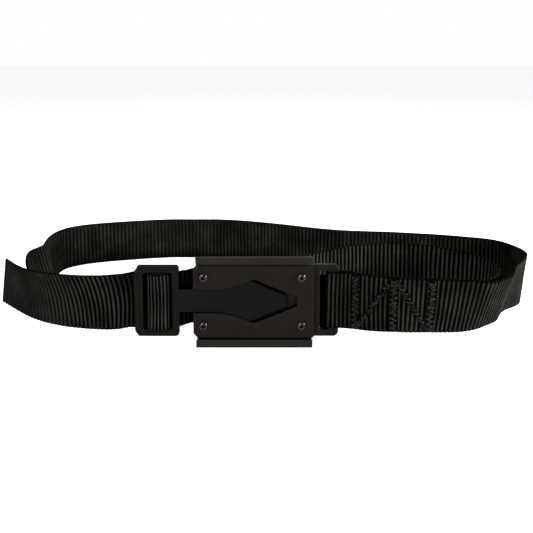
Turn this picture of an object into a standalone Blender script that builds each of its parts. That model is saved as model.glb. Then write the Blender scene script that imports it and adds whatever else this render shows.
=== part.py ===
"""Dive weight belt: nylon webbing on a magnetic quick-release buckle.

Metres, +Z up. The belt stands on the lower edge of its webbing, closed, with
its slack pulled back behind the buckle. The buckle faces -Y.

The buckle is a sandwich, front to back: front plate with an arrow-shaped
pocket, loop plate with the sewn-strap slot, release slide that carries two
magnets, rear cover. Four screws run through four spacers and into the cover.
The tongue drops into the pocket from the front, and its two steel keepers sit
over the magnets. Sliding the release slide moves the magnets off the keepers.
"""
import math

import bmesh
import bpy
from mathutils import Vector

MM = 0.001

# ---------------------------------------------------------------- dimensions
WEB_W = 50.0          # webbing width
WEB_T = 2.0           # webbing thickness
ZC = 40.5             # height of the buckle's centre line
ZB = ZC - WEB_W / 2   # height of the webbing's lower edge at the buckle

PLATE_X = (-63.6, 41.1)
PLATE_H = 65.0
PLATE_Y = (0.0, 4.0)

LOOP_X = (-62.0, 62.9)
LOOP_Y = (4.2, 8.2)
SLOT_X = (46.7, 54.6)
SLOT_Z = (ZC - 27.4, ZC + 25.4)
LOOP_Z = (ZC - 33.3, ZC + 31.5)

SLIDE_X = (-61.0, 39.8)
SLIDE_Y = (8.5, 11.7)
SLIDE_TRAVEL = 6.0
FLANGE_T = 2.2

COVER_X = (-60.0, 36.8)
COVER_Y = (12.0, 14.0)
COVER_H = 60.0

SCREW_X = (-54.7, 30.2)
SCREW_Z = 21.6
SHANK_R = 2.0
HOLE_R = 2.3
HEAD_R = 3.8
HEAD_H = 2.2
SPACER_R = 3.3

MAGNET_X = (-28.5, -10.5)
MAGNET_R = 6.0
MAGNET_T = 3.0

FRAME_X = (-114.5, -76.0)
FRAME_H = 63.0
FRAME_Y = (0.5, 5.5)
WINDOW_X = (-106.6, -81.9)
WINDOW_H = 50.4
BAR_X = (-98.5, -87.5)
BAR_Y = (1.2, 4.8)
TONGUE_Y = (1.0, 3.9)

# The webbing as one continuous strip, from the sewn end to the free tip.
# Each row: X, Y of the strip's middle in plan, height of its lower edge, and
# how far the upper edge leans past the lower one in X and in Y.
LAP = [
    (152.0, -5.5, ZB, 3, -6), (133.0, -4.9, ZB, 0, -5), (120.0, -4.4, ZB, 0, -4),
    (105.0, -2.9, ZB, 0, -3), (90.0, -0.2, ZB, 0, -1), (80.0, 3.0, ZB, 0, 0),
    (72.0, 7.0, ZB, 0, 0), (65.0, 9.6, ZB, 0, 0), (60.0, 10.0, ZB, 0, 0),
]
BAR_TURN = (56.6, 6.2, 3.6)   # centre and radius of the strip's turn on the slot's bar
FRONT = [
    (60.0, 2.6, ZB, 0, 0), (66.0, 2.4, ZB, 0, 0), (75.0, 1.0, ZB, 0, 0),
    (90.0, -3.0, ZB, 0, -1), (105.0, -5.5, ZB, 0, -3), (120.0, -7.0, ZB, 0, -4),
    (133.0, -7.5, ZB, 0, -5), (150.0, -8.1, ZB, 3, -6), (169.5, -8.0, ZB, 6, -8),
    (184.0, -6.0, ZB, 8, -12), (202.5, 4.4, ZB, 10, -11), (209.5, 9.5, ZB, 10, -10),
]
RIGHT = [
    (219.8, 25.0, 15.4, 10.5, -6), (230.0, 36.0, 14.6, 12, -3), (243.3, 49.3, 12.8, 9, 1),
    (252.3, 62.8, 10.6, 7, 3), (257.5, 79.0, 8.0, 4, 2), (261.0, 98.0, 4.5, 1, 0),
    (260.5, 115.0, 2.0, 0, 0), (255.0, 127.0, 0.8, 0, 0), (246.0, 134.5, 0.3, 0, 0),
]
BACK = [
    (225.0, 142.0, 0, 0, 0), (200.0, 148.5, 0, 0, 0), (182.0, 152.0, 0, 0, 0),
    (147.0, 158.0, 0, 0, 0), (91.0, 164.0, 0, 0, 0), (64.0, 171.0, 0, 0, 0),
    (16.6, 188.0, 0, 0, 0), (-33.0, 202.6, 0, 0, 0), (-62.0, 207.0, 0, 0, 0),
    (-74.0, 207.0, 0, 0, 0), (-106.0, 207.0, 0, 0, 0), (-118.0, 207.0, 0, 0, 0),
    (-147.0, 203.4, 0, 0, 0),
    (-201.0, 191.5, 0, 0, 0), (-227.0, 181.4, 0, 0, 0),
]
LEFT = [
    (-240.0, 170.0, 0, 0, 0), (-244.0, 158.0, 0.16, -1.8, 0), (-243.5, 143.0, 0.4, -6, 0),
    (-240.0, 128.0, 1.0, -9, 0), (-235.8, 114.5, 1.6, -12, 0), (-238.0, 106.0, 2.0, -12.5, 0),
    (-240.4, 97.5, 2.5, -12.5, 0), (-238.7, 86.0, 3.3, -13, -1.2), (-233.1, 72.0, 3.8, -12.8, -3.9),
    (-224.9, 56.0, 4.2, -12.5, -6.4), (-216.7, 43.0, 5.3, -9, -10), (-206.4, 34.0, 6.6, -6.5, -10),
    (-195.0, 27.0, 7.9, -4.3, -9.6),
]
PASS = [
    (-174.4, 18.5, 9.2, -2.2, -8.7), (-149.6, 12.8, 10.3, -1, -5.5), (-132.0, 11.0, 11.4, 0, -2.5),
    (-118.0, 10.5, 12.0, 0, 0), (-95.0, 10.5, 12.0, 0, 0), (-79.0, 11.6, 12.0, 0, 0),
    (-68.0, 16.0, 13.8, 0, 0),
    (-60.0, 18.8, 14.8, 0, 0), (-50.0, 19.6, ZB, 0, 0), (-30.0, 21.0, ZB, 0, 0),
    (-10.0, 24.5, ZB, 0, 0), (8.0, 30.5, ZB, 0, 0), (25.0, 38.0, ZB, 0, 0),
    (41.5, 47.0, ZB, 0, 0), (60.7, 58.0, ZB, 0, 0), (87.0, 70.5, ZB, 0, 0),
    (109.5, 77.0, ZB, 0, 0), (138.5, 77.5, ZB, 0, 0), (158.4, 71.5, ZB, 0, 0),
    (176.7, 62.0, ZB, 0, 0), (191.0, 52.0, ZB, 0, 0),
]
TURN = [
    (200.0, 41.0, ZB, 3, 0), (204.0, 28.0, ZB, 5, 0), (203.0, 17.0, ZB, 7, -4),
    (198.0, 8.5, ZB, 7, -8), (190.0, 2.2, ZB, 5, -12),
]
ARM = [
    (180.0, -2.8, 15.3, 5, -10), (169.5, -4.6, 15.0, 4, -8), (158.0, -4.0, 14.5, 2, -6),
    (148.0, -2.4, 14.1, 1, -5), (133.0, -1.9, 13.5, 0, -4), (120.0, -1.3, 13.0, 0, -3),
    (105.0, 0.4, 12.5, 0, -2), (90.0, 3.6, 12.0, 0, -1), (80.0, 7.4, 11.5, 0, 0),
    (70.0, 12.2, 10.2, 0, 0), (60.0, 15.2, 8.8, 0, 0), (50.0, 15.8, 8.5, 0, 0),
    (0.0, 15.9, 11.8, 0, 0), (-48.0, 15.9, 15.0, 0, 0), (-58.5, 15.5, ZB, 0, 0),
    (-65.0, 12.9, ZB, 0, 0), (-71.0, 9.6, ZB, 0, 0), (-78.0, 7.5, ZB, 0, 0),
]
TAIL = [
    (-82.4, 7.0, ZB, 0, 0), (-84.5, 4.9, ZB, 0, 0), (-85.2, 2.6, ZB, 0, 0),
    (-86.3, 0.0, ZB, 0, 0), (-89.5, -1.6, ZB, 0, 0), (-94.0, -2.1, ZB, 0, 0),
    (-98.5, -1.6, ZB, 0, 0), (-101.6, 0.4, ZB, 0, 0), (-102.9, 3.6, ZB, 0, 0),
    (-105.2, 6.6, ZB, 0, 0), (-110.0, 7.2, ZB, 0, 0), (-115.5, 6.9, 15.3, 0, 0),
    (-122.0, 5.0, 14.6, 0, 0), (-132.0, 2.8, 13.9, -0.5, -0.5), (-150.0, 2.4, 13.9, -1.5, -1.8),
    (-163.0, 3.2, 14.1, -2, -2.9), (-176.0, 4.8, 14.4, -2.4, -3.4), (-193.0, 9.0, 14.8, -2.2, -4.8),
    (-206.0, 14.0, 15.0, -1, -6.8), (-217.0, 20.0, 15.3, 1, -8.6), (-227.0, 27.0, 15.8, 4, -10.4),
    (-237.5, 35.0, 16.7, 7.5, -11.6), (-247.0, 41.5, 18.4, 11, -12),
]
CUT_GAP = 0.3


def bar_turn():
    cx, cy, r = BAR_TURN
    return [(cx + r * math.cos(math.radians(a)), cy + r * math.sin(math.radians(a)), ZB, 0, 0)
            for a in range(90, 271, 30)]


GROUPS = [("lap", LAP + bar_turn() + FRONT[:10]), ("right", FRONT[10:] + RIGHT), ("back", BACK),
          ("left", LEFT), ("pass", PASS), ("turn", TURN), ("arm", ARM), ("tail", TAIL)]
NODES = {"lap": "webbing_sewn_end", "right": "webbing_right_turn", "back": "webbing_back",
         "left": "webbing_left_turn", "pass": "webbing_pass_behind", "turn": "webbing_slack_turn",
         "arm": "webbing_slack_arm", "tail": "webbing_tail"}
PER_SEG = 24


# ------------------------------------------------------------------- scene
for old in list(bpy.data.objects):
    bpy.data.objects.remove(old, do_unlink=True)

root = bpy.data.objects.new("belt_root", None)
bpy.context.scene.collection.objects.link(root)
BUILT = []


def material(name, color, rough, metal=0.0):
    m = bpy.data.materials.new(name)
    m.use_nodes = True
    b = m.node_tree.nodes["Principled BSDF"]
    b.inputs["Base Color"].default_value = (*color, 1.0)
    b.inputs["Roughness"].default_value = rough
    b.inputs["Metallic"].default_value = metal
    return m


def finish(bm, name, mat, parent=None, smooth=None):
    bmesh.ops.remove_doubles(bm, verts=bm.verts, dist=1e-7)
    bmesh.ops.recalc_face_normals(bm, faces=bm.faces)
    me = bpy.data.meshes.new(name)
    bm.to_mesh(me)
    bm.free()
    o = bpy.data.objects.new(name, me)
    bpy.context.scene.collection.objects.link(o)
    if smooth:
        me.shade_smooth()
        me.set_sharp_from_angle(angle=math.radians(smooth))
    if mat is not None:
        me.materials.append(mat)
        o.parent = parent or root
        BUILT.append(o)
    else:
        o.parent = parent or root
        o.hide_render = True
        o.display_type = "WIRE"
    return o


def mm(x, y, z):
    return Vector((x * MM, y * MM, z * MM))


def box_bm(x, y, z, bevel=0.0, segs=2):
    bm = bmesh.new()
    bmesh.ops.create_cube(bm, size=1.0)
    for v in bm.verts:
        v.co = mm((x[0] + x[1]) / 2 + v.co.x * (x[1] - x[0]),
                  (y[0] + y[1]) / 2 + v.co.y * (y[1] - y[0]),
                  (z[0] + z[1]) / 2 + v.co.z * (z[1] - z[0]))
    if bevel:
        bmesh.ops.bevel(bm, geom=list(bm.edges), offset=bevel * MM, segments=segs, affect="EDGES",
                        profile=0.5)
    return bm


def circle(cx, cz, r, n=24, start=0.0):
    return [(cx + r * math.cos(start + 2 * math.pi * i / n), cz + r * math.sin(start + 2 * math.pi * i / n))
            for i in range(n)]


def rounded(x0, x1, z0, z1, r, n=4):
    """Rectangle with its own radius at each corner: (x0,z0), (x1,z0), (x1,z1), (x0,z1)."""
    rs = r if isinstance(r, (list, tuple)) else [r] * 4
    out = []
    for (cx, cz, sx, sz, a0), q in zip(((x0, z0, 1, 1, 180), (x1, z0, -1, 1, 270),
                                        (x1, z1, -1, -1, 0), (x0, z1, 1, -1, 90)), rs):
        if q <= 0:
            out.append((cx, cz))
            continue
        k = n if q > 0.6 else 2
        for i in range(k + 1):
            a = math.radians(a0 + 90 * i / k)
            out.append((cx + sx * q + q * math.cos(a), cz + sz * q + q * math.sin(a)))
    return out


def plate_bm(outer, holes, y0, y1, bevel=0.0, segs=2):
    """A flat plate in X and Z with its holes, between y0 and y1, rims bevelled."""
    bm = bmesh.new()
    edges = []
    for loop in [outer] + list(holes):
        loop = [q for i, q in enumerate(loop) if math.dist(q, loop[i - 1]) > 1e-4]
        vs = [bm.verts.new(mm(x, y0, z)) for x, z in loop]
        edges += [bm.edges.new((vs[i], vs[(i + 1) % len(vs)])) for i in range(len(vs))]
    bmesh.ops.triangle_fill(bm, edges=edges, use_beauty=True)
    rim = [e for e in bm.edges if len(e.link_faces) == 1]
    ret = bmesh.ops.extrude_face_region(bm, geom=list(bm.faces))
    top = [v for v in ret["geom"] if isinstance(v, bmesh.types.BMVert)]
    bmesh.ops.translate(bm, verts=top, vec=mm(0, y1 - y0, 0))
    bmesh.ops.recalc_face_normals(bm, faces=bm.faces)
    if bevel:
        sharp = [e for e in bm.edges if len(e.link_faces) == 2
                 and abs(e.verts[0].co.y - e.verts[1].co.y) < 1e-7
                 and e.calc_face_angle(0) > math.radians(60)]
        bmesh.ops.bevel(bm, geom=sharp, offset=bevel * MM, segments=segs, affect="EDGES", profile=0.5)
    return bm


def profile_bm(points, x0, x1):
    """A section in Y and Z drawn out along X."""
    bm = bmesh.new()
    a = [bm.verts.new(mm(x0, y, z)) for y, z in points]
    b = [bm.verts.new(mm(x1, y, z)) for y, z in points]
    n = len(points)
    bm.faces.new(a)
    bm.faces.new(list(reversed(b)))
    for i in range(n):
        bm.faces.new((a[i], a[(i + 1) % n], b[(i + 1) % n], b[i]))
    return bm


def turned_bm(cx, cz, prof, n=24):
    """A solid turned about the Y direction through (cx, cz). prof: (radius, y) from axis to axis."""
    bm = bmesh.new()
    rings = []
    for r, y in prof:
        if r < 1e-6:
            rings.append([bm.verts.new(mm(cx, y, cz))])
        else:
            rings.append([bm.verts.new(mm(x, y, z)) for x, z in circle(cx, cz, r, n)])
    for p, q in zip(rings, rings[1:]):
        for i in range(n):
            j = (i + 1) % n
            if len(p) == 1 and len(q) == 1:
                continue
            if len(p) == 1:
                bm.faces.new((p[0], q[j], q[i]))
            elif len(q) == 1:
                bm.faces.new((p[i], p[j], q[0]))
            else:
                bm.faces.new((p[i], p[j], q[j], q[i]))
    return bm


def boolean(o, cutter, op="DIFFERENCE"):
    m = o.modifiers.new(cutter.name, "BOOLEAN")
    m.operation = op
    m.solver = "EXACT"
    m.object = cutter
    return m


# ------------------------------------------------------------ the webbing path
def smooth_path():
    """Dense samples of the whole strip, and the sample index where each group starts."""
    pts = [p for _, g in GROUPS for p in g]
    out, starts, k = [], {}, 0
    first = 0
    for name, g in GROUPS:
        starts[name] = first * PER_SEG
        first += len(g)
    n = len(pts)

    def ghost(i):
        if i < 0:
            return tuple(2 * a - b for a, b in zip(pts[0], pts[1]))
        if i >= n:
            return tuple(2 * a - b for a, b in zip(pts[-1], pts[-2]))
        return pts[i]

    for i in range(n - 1):
        p = [ghost(i - 1), ghost(i), ghost(i + 1), ghost(i + 2)]
        t = [0.0]
        for a, b in zip(p, p[1:]):
            t.append(t[-1] + max(math.hypot(a[0] - b[0], a[1] - b[1]), 1e-6) ** 0.5)
        for j in range(PER_SEG):
            u = t[1] + (t[2] - t[1]) * j / PER_SEG
            row = []
            for c in range(5):
                a1 = (t[1] - u) / (t[1] - t[0]) * p[0][c] + (u - t[0]) / (t[1] - t[0]) * p[1][c]
                a2 = (t[2] - u) / (t[2] - t[1]) * p[1][c] + (u - t[1]) / (t[2] - t[1]) * p[2][c]
                a3 = (t[3] - u) / (t[3] - t[2]) * p[2][c] + (u - t[2]) / (t[3] - t[2]) * p[3][c]
                b1 = (t[2] - u) / (t[2] - t[0]) * a1 + (u - t[0]) / (t[2] - t[0]) * a2
                b2 = (t[3] - u) / (t[3] - t[1]) * a2 + (u - t[1]) / (t[3] - t[1]) * a3
                row.append((t[2] - u) / (t[2] - t[1]) * b1 + (u - t[1]) / (t[2] - t[1]) * b2)
            row[2] = max(row[2], math.hypot(row[3], row[4]) / WEB_W)
            out.append(row)
    out.append(list(pts[-1]))
    return out, starts


PATH, STARTS = smooth_path()
ARC = [0.0]
for _a, _b in zip(PATH, PATH[1:]):
    ARC.append(ARC[-1] + math.hypot(_a[0] - _b[0], _a[1] - _b[1]))


def at_arc(s):
    lo, hi = 0, len(ARC) - 1
    s = min(max(s, 0.0), ARC[-1])
    while hi - lo > 1:
        mid = (lo + hi) // 2
        if ARC[mid] <= s:
            lo = mid
        else:
            hi = mid
    f = (s - ARC[lo]) / max(ARC[hi] - ARC[lo], 1e-9)
    return [a + (b - a) * f for a, b in zip(PATH[lo], PATH[hi])]


def frame_at(s):
    """Lower edge, unit direction up the width, and unit normal of the strip at arc s."""
    x, y, zb, dx, dy = at_arc(s)
    a, b = at_arc(s - 0.4), at_arc(s + 0.4)
    tan = Vector((b[0] - a[0], b[1] - a[1], 0)).normalized()
    rise = Vector((dx, dy, math.sqrt(WEB_W ** 2 - dx * dx - dy * dy))) / WEB_W
    low = Vector((x - dx / 2, y - dy / 2, zb))
    nor = tan.cross(rise).normalized()
    return low, rise, nor, tan


def stations(s0, s1, max_ds=11.0, max_turn=9.0):
    out = [s0]
    s, last = s0, frame_at(s0)[3]
    while s < s1 - 1e-6:
        s = min(s + 0.4, s1)
        t = frame_at(s)[3]
        turn = math.degrees(last.angle(t)) if last.length and t.length else 0
        if s - out[-1] >= max_ds or turn >= max_turn:
            if s1 - s > 0.3:
                out.append(s)
                last = t
    out.append(s1)
    return out


def strip_bm(ss, h0, h1, o0, o1):
    """A closed strip between widths h0 and h1 (lists or numbers) and offsets o0 and o1 along the normal."""
    bm = bmesh.new()
    rings = []
    for i, s in enumerate(ss):
        low, rise, nor, _ = frame_at(s)
        a = h0[i] if isinstance(h0, list) else h0
        b = h1[i] if isinstance(h1, list) else h1
        rings.append([bm.verts.new((low + rise * h + nor * o) * MM)
                      for h, o in ((a, o0), (b, o0), (b, o1), (a, o1))])
    for p, q in zip(rings, rings[1:]):
        for i in range(4):
            j = (i + 1) % 4
            bm.faces.new((p[i], p[j], q[j], q[i]))
    bm.faces.new(list(reversed(rings[0])))
    bm.faces.new(rings[-1])
    return bm


# ------------------------------------------------------------------- materials
M_PLATE = material("black_anodised_aluminium", (0.030, 0.026, 0.023), 0.45, 0.6)
M_TONGUE = material("black_acetal", (0.018, 0.018, 0.018), 0.5)
M_SCREW = material("stainless_screw", (0.32, 0.31, 0.30), 0.3, 1.0)
M_WEB = material("black_nylon_webbing", (0.016, 0.017, 0.013), 0.7)
M_THREAD = material("black_thread", (0.014, 0.014, 0.012), 0.8)
M_STEEL = material("zinc_steel", (0.50, 0.50, 0.50), 0.35, 1.0)
M_MAGNET = material("nickel_magnet", (0.62, 0.60, 0.55), 0.25, 1.0)

# ------------------------------------------------------------------ front plate
zlo, zhi = ZC - PLATE_H / 2, ZC + PLATE_H / 2
NECK, SHOULDER_X, WIDE_X, WIDE, TIP_X, TIP = 10.7, -42.0, -11.0, 19.3, 26.4, 4.6


def flank(x0, z0, x1, z1, n=6):
    """A shoulder that leaves the straight neck gently and runs on straight."""
    out = []
    for i in range(n + 1):
        u = i / n
        out.append((x0 + (x1 - x0) * u, z0 + (z1 - z0) * (u ** 1.45)))
    return out


def arrow(neck, shoulder, wide_x, wide, flat, tip_x, tip):
    """Upper half of the arrow outline, from the neck to the tip, about z = 0."""
    up = flank(shoulder, neck, wide_x - flat, wide)
    up += [(wide_x + flat, wide), (tip_x, tip)]
    return up


pocket = arrow(NECK, SHOULDER_X, WIDE_X, WIDE, 1.6, TIP_X, TIP)
outer = []
outer += [(PLATE_X[0], ZC + NECK)] + [(x, ZC + z) for x, z in pocket]
outer += [(x, ZC - z) for x, z in reversed(pocket)] + [(PLATE_X[0], ZC - NECK)]
outer += [(PLATE_X[0], zlo + 4.0), (PLATE_X[0] + 3.2, zlo)]
outer += [(PLATE_X[1] - 0.8, zlo), (PLATE_X[1], zlo + 0.8), (PLATE_X[1], zhi - 0.8), (PLATE_X[1] - 0.8, zhi)]
outer += [(PLATE_X[0] + 3.2, zhi), (PLATE_X[0], zhi - 4.0)]
holes = [circle(x, ZC + s * SCREW_Z, HOLE_R, 20) for x in SCREW_X for s in (1, -1)]
finish(plate_bm(outer, holes, PLATE_Y[0], PLATE_Y[1], 0.45, 2), "front_plate", M_PLATE)

# ------------------------------------------------------------------- loop plate
outer = rounded(LOOP_X[0], LOOP_X[1], LOOP_Z[0], LOOP_Z[1], (3.0, 4.5, 4.5, 3.0), 5)
slot = rounded(SLOT_X[0], SLOT_X[1], SLOT_Z[0], SLOT_Z[1], 0.4, 3)
holes = [circle(x, ZC + s * SCREW_Z, HOLE_R, 20) for x in SCREW_X for s in (1, -1)]
loop_plate = finish(plate_bm(outer, [slot] + holes, LOOP_Y[0], LOOP_Y[1], 0.7, 2), "loop_plate", M_PLATE)
BOSS_X = (-37.0, -2.0)
recess = finish(box_bm((BOSS_X[0] - 0.5, BOSS_X[1] + SLIDE_TRAVEL + 0.6), (5.7, 9.0), (ZC - 8.4, ZC + 8.4)),
                "cut_magnet_recess", None)
boolean(loop_plate, recess)
SPRING_END = 14.0
groove = finish(box_bm((BOSS_X[1] + 2, SPRING_END), (5.7, 9.0), (ZC - 2.9, ZC + 2.9)), "cut_spring_groove", None)
boolean(loop_plate, groove)

# ---------------------------------------------------------------- release slide
def flange_half(sign):
    """The section's upper half, outside then inside: wall, bend, flared flange, its lip and the fold on the lip."""
    t = FLANGE_T / 2
    lip_y, lip_t, top, fold, low = -2.2, 1.5, 40.5, 37.0, 33.7
    a, b = Vector((8.9, 35.5)), Vector((-0.9, 39.4))
    d = (b - a).normalized()
    n = Vector((-d.y, -d.x)) if d.x > 0 else Vector((d.y, -d.x))
    pts = [(SLIDE_Y[1], 34.4), (SLIDE_Y[1] - 0.8, 35.9), tuple(a + n * t), (b + n * t)[:], (lip_y + 0.8, top),
           (lip_y + 0.2, top - 0.3), (lip_y, top - 1.0), (lip_y, fold), (lip_y + 0.5, fold - 0.2),
           (lip_y + 0.5, low + 0.3), (lip_y + 0.7, low),
           (lip_y + lip_t - 0.3, low), (lip_y + lip_t, low + 0.4)]
    inner = b - n * t
    corner = (lip_y + lip_t, inner.y + (lip_y + lip_t - inner.x) * d.y / d.x)
    pts += [corner, (SLIDE_Y[0] - 0.2, (a - n * t).y + (SLIDE_Y[0] - 0.2 - (a - n * t).x) * d.y / d.x),
            (SLIDE_Y[0], 33.9)]
    return [(y, sign * z) for y, z in pts]


up = flange_half(1)
dn = flange_half(-1)
section = up + list(reversed(dn))
section = [(y, ZC + z) for y, z in section]
slide = finish(profile_bm(section, SLIDE_X[0], SLIDE_X[1]), "release_slide", M_PLATE)
boss = finish(box_bm(BOSS_X, (6.0, 9.5), (ZC - 8.0, ZC + 8.0)), "join_boss", None)
boolean(slide, boss, "UNION")
for i, x in enumerate(SCREW_X):
    for j, s in enumerate((1, -1)):
        r = SPACER_R + 0.35
        c = finish(plate_bm(rounded(x - r - SLIDE_TRAVEL, x + r, ZC + s * SCREW_Z - r, ZC + s * SCREW_Z + r, r, 6),
                            [], 5.0, 13.0), f"cut_guide_{i}{j}", None)
        boolean(slide, c)
for i, x in enumerate(MAGNET_X):
    c = finish(turned_bm(x, ZC, [(0, 5.0), (MAGNET_R + 0.3, 5.0), (MAGNET_R + 0.3, 9.6), (0, 9.6)], 32),
               f"cut_magnet_{i}", None)
    boolean(slide, c)
c = finish(box_bm((BOSS_X[1] + 0.2, 20.0), (5.0, 11.3), (ZC - 2.9, ZC + 2.9)), "cut_spring_pocket", None)
boolean(slide, c)
c = finish(box_bm((-58.0, -30.0), (3.6, 5.2), (4.6, ZC - 30.0)), "cut_drain_slot", None)
boolean(slide, c)

# ------------------------------------------------------------------- rear cover
outer = rounded(COVER_X[0], COVER_X[1], ZC - COVER_H / 2, ZC + COVER_H / 2, 5.0, 5)
holes = [circle(x, ZC + s * SCREW_Z, HOLE_R, 20) for x in SCREW_X for s in (1, -1)]
finish(plate_bm(outer, holes, COVER_Y[0], COVER_Y[1], 0.6, 2), "rear_cover", M_PLATE)

# ---------------------------------------------------------- screws and spacers
k = 0
for x in SCREW_X:
    for s in (1, -1):
        k += 1
        z = ZC + s * SCREW_Z
        prof = [(0.0, -HEAD_H + 1.3), (1.35, -HEAD_H + 1.3), (1.45, -HEAD_H + 0.02), (2.2, -HEAD_H)]
        for a in (25, 50, 75, 90):
            prof.append((2.2 + (HEAD_R - 2.2) * math.sin(math.radians(a)),
                         -HEAD_H + (HEAD_H - 0.45) * (1 - math.cos(math.radians(a)))))
        prof += [(HEAD_R, -0.3), (SHANK_R, -0.3), (SHANK_R, COVER_Y[1] - 0.5), (SHANK_R - 0.4, COVER_Y[1] - 0.1),
                 (0.0, COVER_Y[1] - 0.1)]
        finish(turned_bm(x, z, prof, 24), f"plate_screw_{k}", M_SCREW, smooth=35)
        sp = turned_bm(x, z, [(HOLE_R, 8.5), (SPACER_R, 8.5), (SPACER_R, 11.7), (HOLE_R, 11.7), (HOLE_R, 8.5)], 24)
        finish(sp, f"spacer_{k}", M_STEEL, smooth=35)

# ---------------------------------------------------------------------- magnets
slide_pivot = bpy.data.objects.new("slide_pivot", None)
bpy.context.scene.collection.objects.link(slide_pivot)
slide_pivot.parent = root
slide.parent = slide_pivot
for i, x in enumerate(MAGNET_X):
    prof = [(0, 6.2), (MAGNET_R - 0.4, 6.2), (MAGNET_R, 6.6), (MAGNET_R, 8.8), (MAGNET_R - 0.4, 9.2), (0, 9.2)]
    finish(turned_bm(x, ZC, prof, 32), f"magnet_{i + 1}", M_MAGNET, slide_pivot, smooth=35)

# ----------------------------------------------------------------- return spring
def coil_bm(x0, x1, cy, cz, r, wire, turns, per=14, sides=6):
    bm = bmesh.new()
    rings = []
    n = turns * per
    lead = (x1 - x0 - 2 * wire) / (2 * math.pi * turns * r)
    for i in range(n + 1):
        a = 2 * math.pi * i / per
        c = Vector((x0 + wire + (x1 - x0 - 2 * wire) * i / n, cy + r * math.cos(a), cz + r * math.sin(a)))
        t = Vector((lead, -math.sin(a), math.cos(a))).normalized()
        u = Vector((0, math.cos(a), math.sin(a)))
        v = t.cross(u)
        rings.append([bm.verts.new((c + (u * math.cos(2 * math.pi * j / sides)
                                         + v * math.sin(2 * math.pi * j / sides)) * wire) * MM)
                      for j in range(sides)])
    for p, q in zip(rings, rings[1:]):
        for j in range(sides):
            bm.faces.new((p[j], p[(j + 1) % sides], q[(j + 1) % sides], q[j]))
    bm.faces.new(list(reversed(rings[0])))
    bm.faces.new(rings[-1])
    return bm


finish(coil_bm(BOSS_X[1] + 0.5, SPRING_END - 0.4, 8.5, ZC, 2.1, 0.3, 7), "return_spring", M_STEEL, smooth=60)

# ----------------------------------------------------------------------- tongue
tongue_pivot = bpy.data.objects.new("tongue_pivot", None)
bpy.context.scene.collection.objects.link(tongue_pivot)
tongue_pivot.parent = root
fz0, fz1 = ZC - FRAME_H / 2, ZC + FRAME_H / 2
outer = [(FRAME_X[0], fz0 + 5.0), (FRAME_X[0] + 3.2, fz0), (FRAME_X[1] - 2.4, fz0), (FRAME_X[1] - 0.6, fz0 + 0.8),
         (FRAME_X[1], fz0 + 2.6), (FRAME_X[1], fz1 - 2.6), (FRAME_X[1] - 0.6, fz1 - 0.8), (FRAME_X[1] - 2.4, fz1),
         (FRAME_X[0] + 3.2, fz1), (FRAME_X[0], fz1 - 5.0)]
window = rounded(WINDOW_X[0], WINDOW_X[1], ZC - WINDOW_H / 2, ZC + WINDOW_H / 2, 1.5, 3)
tongue = finish(plate_bm(outer, [window], FRAME_Y[0], FRAME_Y[1], 0.8, 3), "tongue", M_TONGUE, tongue_pivot)
head = arrow(10.0, -44.0, -14.3, 18.2, 0.8, 17.4, 4.6)
half = [(-78.5, 10.0)] + head
outer = [(x, ZC + z) for x, z in half] + [(x, ZC - z) for x, z in reversed(half)]
arrow_part = finish(plate_bm(outer, [], TONGUE_Y[0], TONGUE_Y[1], 0.7, 2), "join_arrow", None, tongue_pivot)
boolean(tongue, arrow_part, "UNION")
for i, x in enumerate(MAGNET_X):
    c = finish(turned_bm(x, ZC, [(0, 2.2), (MAGNET_R + 0.3, 2.2), (MAGNET_R + 0.3, 5.0), (0, 5.0)], 32),
               f"cut_keeper_{i}", None, tongue_pivot)
    boolean(tongue, c)
    prof = [(0, 2.5), (MAGNET_R, 2.5), (MAGNET_R, 3.6), (MAGNET_R - 0.3, 3.85), (0, 3.85)]
    finish(turned_bm(x, ZC, prof, 32), f"keeper_disc_{i + 1}", M_STEEL, tongue_pivot, smooth=35)
c = finish(box_bm((BAR_X[0] - 0.3, BAR_X[1] + 0.3), (BAR_Y[0] - 0.3, BAR_Y[1] + 0.3),
                  (ZC - WINDOW_H / 2 - 2.8, ZC + WINDOW_H / 2 + 2.8)), "cut_bar_seats", None, tongue_pivot)
boolean(tongue, c)
finish(box_bm(BAR_X, BAR_Y, (ZC - WINDOW_H / 2 - 2.5, ZC + WINDOW_H / 2 + 2.5), 1.1, 2), "adjuster_bar", M_STEEL,
       tongue_pivot)

# ---------------------------------------------------------------------- webbing
order = [name for name, _ in GROUPS]
for i, name in enumerate(order):
    a = ARC[STARTS[name]]
    b = ARC[STARTS[order[i + 1]]] if i + 1 < len(order) else ARC[-1]
    if i:
        a += CUT_GAP / 2
    if i + 1 < len(order):
        b -= CUT_GAP / 2
    ss = stations(a, b)
    finish(strip_bm(ss, 0.0, WEB_W, -WEB_T / 2, WEB_T / 2), NODES[name], M_WEB,
           tongue_pivot if name == "tail" else root)

# -------------------------------------------------------------------- stitching
def arc_on_front(x):
    """Arc length where the front run of the strip passes a given X."""
    i = STARTS["right"]
    while i > 0 and PATH[i][0] > x:
        i -= 1
    return ARC[i]


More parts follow.
